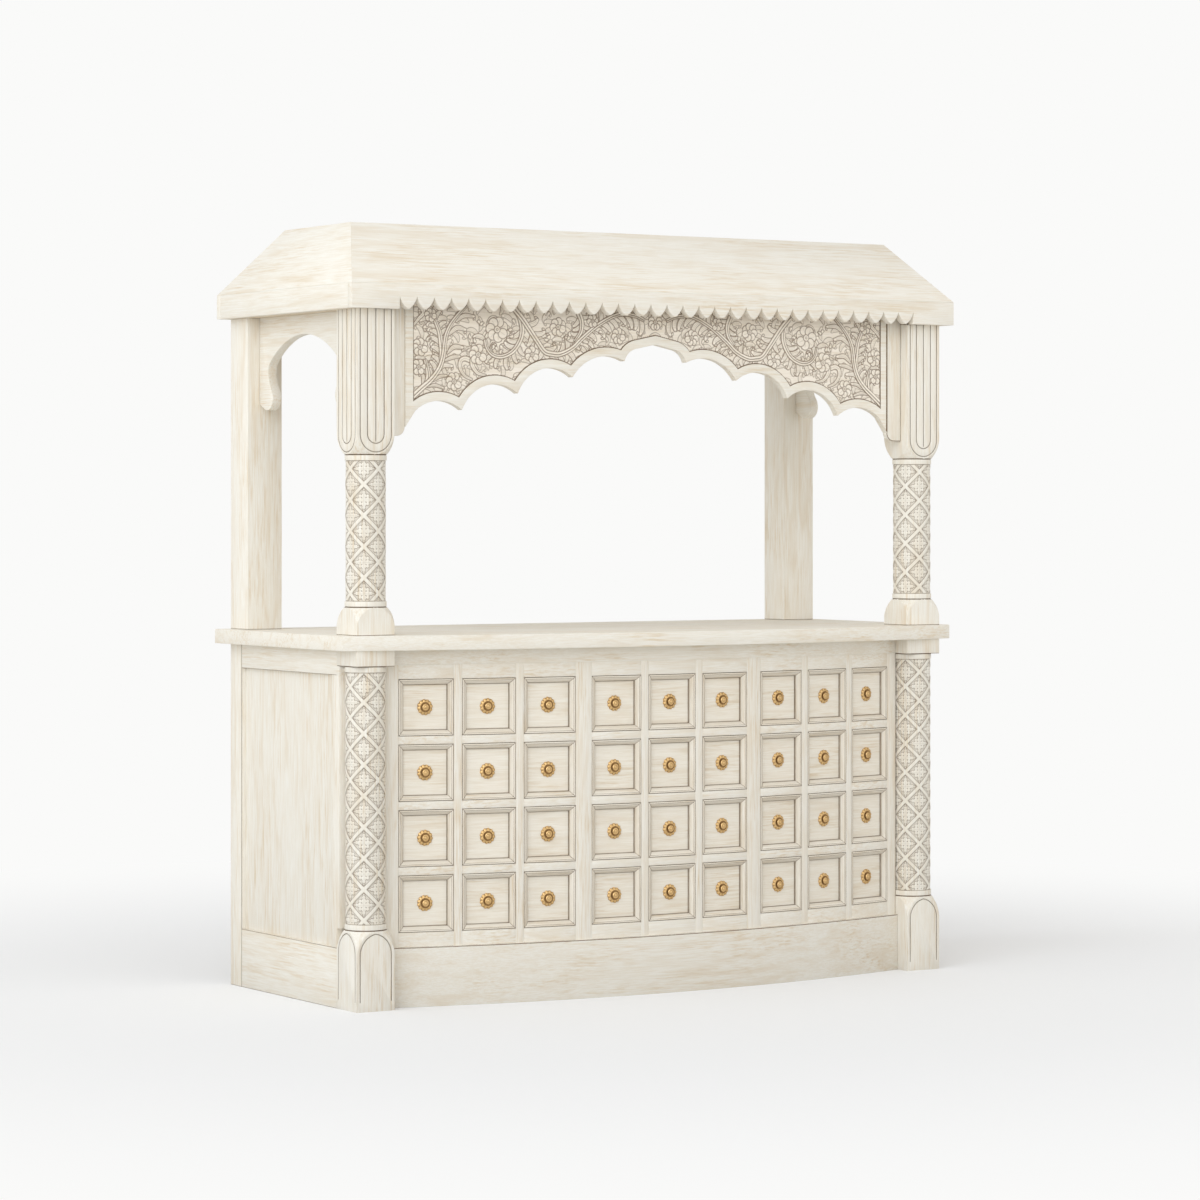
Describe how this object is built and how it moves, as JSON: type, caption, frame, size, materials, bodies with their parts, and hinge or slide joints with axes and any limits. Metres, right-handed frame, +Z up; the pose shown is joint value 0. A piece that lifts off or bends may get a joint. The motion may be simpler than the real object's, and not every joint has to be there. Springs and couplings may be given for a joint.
{
  "type": "canopy bar counter",
  "caption": "Free-standing bar counter with a bowed front of small knobbed drawers, carved posts, and a scalloped canopy on a cusped arch.",
  "frame": {"origin": "on the floor, under the middle of the whole object's box", "axes": "+Z up, +X to the customer's right when facing the drawers, +Y from the drawer face towards the bartender"},
  "size_m": [2.1, 0.935, 2.218],
  "materials": {
    "whitewashed_wood": "matt whitewash with brushed streaks",
    "drawer_wood": "matt whitewash with brushed streaks",
    "inner_wood": "thin whitewash over bare wood",
    "brass": "aged satin brass"
  },
  "bodies": {
    "counter": {"countertop": "whitewashed_wood", "plinth": "whitewashed_wood", "top_rail": "whitewashed_wood", "front_stiles": "whitewashed_wood", "front_rails": "whitewashed_wood", "drawer_decks": "inner_wood", "drawer_guides": "inner_wood", "bay_dividers": "inner_wood", "partition": "inner_wood", "lower_posts": "whitewashed_wood", "side_frames": "whitewashed_wood", "side_panels": "whitewashed_wood", "back_frame": "whitewashed_wood", "shelves": "inner_wood", "upper_columns": "whitewashed_wood", "rear_posts": "whitewashed_wood", "arch_panel": "whitewashed_wood", "arch_cleats": "whitewashed_wood", "side_arches": "whitewashed_wood", "canopy_frame": "inner_wood", "front_fascia": "whitewashed_wood", "eave_boards": "whitewashed_wood", "roof_panels": "whitewashed_wood"},
    "drawer_r1_c1": {"drawer_r1_c1": "drawer_wood"},
    "drawer_r1_c2": {"drawer_r1_c2": "drawer_wood"},
    "drawer_r1_c3": {"drawer_r1_c3": "drawer_wood"},
    "drawer_r1_c4": {"drawer_r1_c4": "drawer_wood"},
    "drawer_r1_c5": {"drawer_r1_c5": "drawer_wood"},
    "drawer_r1_c6": {"drawer_r1_c6": "drawer_wood"},
    "drawer_r1_c7": {"drawer_r1_c7": "drawer_wood"},
    "drawer_r1_c8": {"drawer_r1_c8": "drawer_wood"},
    "drawer_r1_c9": {"drawer_r1_c9": "drawer_wood"},
    "drawer_r2_c1": {"drawer_r2_c1": "drawer_wood"},
    "drawer_r2_c2": {"drawer_r2_c2": "drawer_wood"},
    "drawer_r2_c3": {"drawer_r2_c3": "drawer_wood"},
    "drawer_r2_c4": {"drawer_r2_c4": "drawer_wood"},
    "drawer_r2_c5": {"drawer_r2_c5": "drawer_wood"},
    "drawer_r2_c6": {"drawer_r2_c6": "drawer_wood"},
    "drawer_r2_c7": {"drawer_r2_c7": "drawer_wood"},
    "drawer_r2_c8": {"drawer_r2_c8": "drawer_wood"},
    "drawer_r2_c9": {"drawer_r2_c9": "drawer_wood"},
    "drawer_r3_c1": {"drawer_r3_c1": "drawer_wood"},
    "drawer_r3_c2": {"drawer_r3_c2": "drawer_wood"},
    "drawer_r3_c3": {"drawer_r3_c3": "drawer_wood"},
    "drawer_r3_c4": {"drawer_r3_c4": "drawer_wood"},
    "drawer_r3_c5": {"drawer_r3_c5": "drawer_wood"},
    "drawer_r3_c6": {"drawer_r3_c6": "drawer_wood"},
    "drawer_r3_c7": {"drawer_r3_c7": "drawer_wood"},
    "drawer_r3_c8": {"drawer_r3_c8": "drawer_wood"},
    "drawer_r3_c9": {"drawer_r3_c9": "drawer_wood"},
    "drawer_r4_c1": {"drawer_r4_c1": "drawer_wood"},
    "drawer_r4_c2": {"drawer_r4_c2": "drawer_wood"},
    "drawer_r4_c3": {"drawer_r4_c3": "drawer_wood"},
    "drawer_r4_c4": {"drawer_r4_c4": "drawer_wood"},
    "drawer_r4_c5": {"drawer_r4_c5": "drawer_wood"},
    "drawer_r4_c6": {"drawer_r4_c6": "drawer_wood"},
    "drawer_r4_c7": {"drawer_r4_c7": "drawer_wood"},
    "drawer_r4_c8": {"drawer_r4_c8": "drawer_wood"},
    "drawer_r4_c9": {"drawer_r4_c9": "drawer_wood"}
  },
  "joints": [
    {"name": "slide_r1_c1", "type": "slide", "parent": "counter", "child": "drawer_r1_c1", "axis": [-0.229, -0.9734, 0], "range_m": [0, 0.2]},
    {"name": "slide_r1_c2", "type": "slide", "parent": "counter", "child": "drawer_r1_c2", "axis": [-0.1744, -0.9847, 0], "range_m": [0, 0.2]},
    {"name": "slide_r1_c3", "type": "slide", "parent": "counter", "child": "drawer_r1_c3", "axis": [-0.1193, -0.9929, 0], "range_m": [0, 0.2]},
    {"name": "slide_r1_c4", "type": "slide", "parent": "counter", "child": "drawer_r1_c4", "axis": [-0.0557, -0.9984, 0], "range_m": [0, 0.2]},
    {"name": "slide_r1_c5", "type": "slide", "parent": "counter", "child": "drawer_r1_c5", "axis": [0, -1, 0], "range_m": [0, 0.2]},
    {"name": "slide_r1_c6", "type": "slide", "parent": "counter", "child": "drawer_r1_c6", "axis": [0.0557, -0.9984, 0], "range_m": [0, 0.2]},
    {"name": "slide_r1_c7", "type": "slide", "parent": "counter", "child": "drawer_r1_c7", "axis": [0.1193, -0.9929, 0], "range_m": [0, 0.2]},
    {"name": "slide_r1_c8", "type": "slide", "parent": "counter", "child": "drawer_r1_c8", "axis": [0.1744, -0.9847, 0], "range_m": [0, 0.2]},
    {"name": "slide_r1_c9", "type": "slide", "parent": "counter", "child": "drawer_r1_c9", "axis": [0.229, -0.9734, 0], "range_m": [0, 0.2]},
    {"name": "slide_r2_c1", "type": "slide", "parent": "counter", "child": "drawer_r2_c1", "axis": [-0.229, -0.9734, 0], "range_m": [0, 0.2]},
    {"name": "slide_r2_c2", "type": "slide", "parent": "counter", "child": "drawer_r2_c2", "axis": [-0.1744, -0.9847, 0], "range_m": [0, 0.2]},
    {"name": "slide_r2_c3", "type": "slide", "parent": "counter", "child": "drawer_r2_c3", "axis": [-0.1193, -0.9929, 0], "range_m": [0, 0.2]},
    {"name": "slide_r2_c4", "type": "slide", "parent": "counter", "child": "drawer_r2_c4", "axis": [-0.0557, -0.9984, 0], "range_m": [0, 0.2]},
    {"name": "slide_r2_c5", "type": "slide", "parent": "counter", "child": "drawer_r2_c5", "axis": [0, -1, 0], "range_m": [0, 0.2]},
    {"name": "slide_r2_c6", "type": "slide", "parent": "counter", "child": "drawer_r2_c6", "axis": [0.0557, -0.9984, 0], "range_m": [0, 0.2]},
    {"name": "slide_r2_c7", "type": "slide", "parent": "counter", "child": "drawer_r2_c7", "axis": [0.1193, -0.9929, 0], "range_m": [0, 0.2]},
    {"name": "slide_r2_c8", "type": "slide", "parent": "counter", "child": "drawer_r2_c8", "axis": [0.1744, -0.9847, 0], "range_m": [0, 0.2]},
    {"name": "slide_r2_c9", "type": "slide", "parent": "counter", "child": "drawer_r2_c9", "axis": [0.229, -0.9734, 0], "range_m": [0, 0.2]},
    {"name": "slide_r3_c1", "type": "slide", "parent": "counter", "child": "drawer_r3_c1", "axis": [-0.229, -0.9734, 0], "range_m": [0, 0.2]},
    {"name": "slide_r3_c2", "type": "slide", "parent": "counter", "child": "drawer_r3_c2", "axis": [-0.1744, -0.9847, 0], "range_m": [0, 0.2]},
    {"name": "slide_r3_c3", "type": "slide", "parent": "counter", "child": "drawer_r3_c3", "axis": [-0.1193, -0.9929, 0], "range_m": [0, 0.2]},
    {"name": "slide_r3_c4", "type": "slide", "parent": "counter", "child": "drawer_r3_c4", "axis": [-0.0557, -0.9984, 0], "range_m": [0, 0.2]},
    {"name": "slide_r3_c5", "type": "slide", "parent": "counter", "child": "drawer_r3_c5", "axis": [0, -1, 0], "range_m": [0, 0.2]},
    {"name": "slide_r3_c6", "type": "slide", "parent": "counter", "child": "drawer_r3_c6", "axis": [0.0557, -0.9984, 0], "range_m": [0, 0.2]},
    {"name": "slide_r3_c7", "type": "slide", "parent": "counter", "child": "drawer_r3_c7", "axis": [0.1193, -0.9929, 0], "range_m": [0, 0.2]},
    {"name": "slide_r3_c8", "type": "slide", "parent": "counter", "child": "drawer_r3_c8", "axis": [0.1744, -0.9847, 0], "range_m": [0, 0.2]},
    {"name": "slide_r3_c9", "type": "slide", "parent": "counter", "child": "drawer_r3_c9", "axis": [0.229, -0.9734, 0], "range_m": [0, 0.2]},
    {"name": "slide_r4_c1", "type": "slide", "parent": "counter", "child": "drawer_r4_c1", "axis": [-0.229, -0.9734, 0], "range_m": [0, 0.2]},
    {"name": "slide_r4_c2", "type": "slide", "parent": "counter", "child": "drawer_r4_c2", "axis": [-0.1744, -0.9847, 0], "range_m": [0, 0.2]},
    {"name": "slide_r4_c3", "type": "slide", "parent": "counter", "child": "drawer_r4_c3", "axis": [-0.1193, -0.9929, 0], "range_m": [0, 0.2]},
    {"name": "slide_r4_c4", "type": "slide", "parent": "counter", "child": "drawer_r4_c4", "axis": [-0.0557, -0.9984, 0], "range_m": [0, 0.2]},
    {"name": "slide_r4_c5", "type": "slide", "parent": "counter", "child": "drawer_r4_c5", "axis": [0, -1, 0], "range_m": [0, 0.2]},
    {"name": "slide_r4_c6", "type": "slide", "parent": "counter", "child": "drawer_r4_c6", "axis": [0.0557, -0.9984, 0], "range_m": [0, 0.2]},
    {"name": "slide_r4_c7", "type": "slide", "parent": "counter", "child": "drawer_r4_c7", "axis": [0.1193, -0.9929, 0], "range_m": [0, 0.2]},
    {"name": "slide_r4_c8", "type": "slide", "parent": "counter", "child": "drawer_r4_c8", "axis": [0.1744, -0.9847, 0], "range_m": [0, 0.2]},
    {"name": "slide_r4_c9", "type": "slide", "parent": "counter", "child": "drawer_r4_c9", "axis": [0.229, -0.9734, 0], "range_m": [0, 0.2]}
  ]
}
